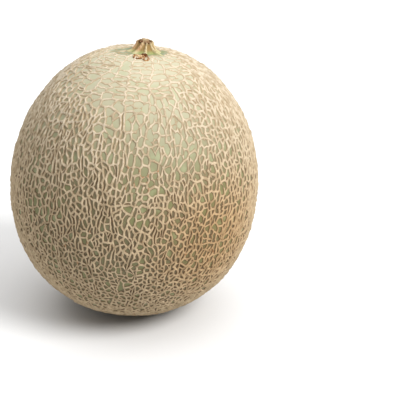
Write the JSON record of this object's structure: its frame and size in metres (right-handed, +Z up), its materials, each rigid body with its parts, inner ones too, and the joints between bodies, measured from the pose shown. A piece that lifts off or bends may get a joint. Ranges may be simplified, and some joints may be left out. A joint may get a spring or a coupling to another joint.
{
  "type": "cantaloupe melon",
  "caption": "Whole cantaloupe melon with a raised corky net all over its rind and a short ribbed stem stub, resting upright on a small flat spot.",
  "frame": {"origin": "on the surface that the melon rests on, under the middle of its bounding box", "axes": "+Z up, and the stem end leans 10 degrees from +Z, towards +Y and a little towards +X; -Y is the side shown at the front"},
  "size_m": [0.1508, 0.1512, 0.1693],
  "materials": {
    "rind": "matt, cream corky net over grey-green skin",
    "stem": "dry and matt, straw-coloured ribs, green at the foot"
  },
  "bodies": {
    "root": {"melon_fruit": "rind", "stem_stub": "stem"}
  },
  "joints": []
}
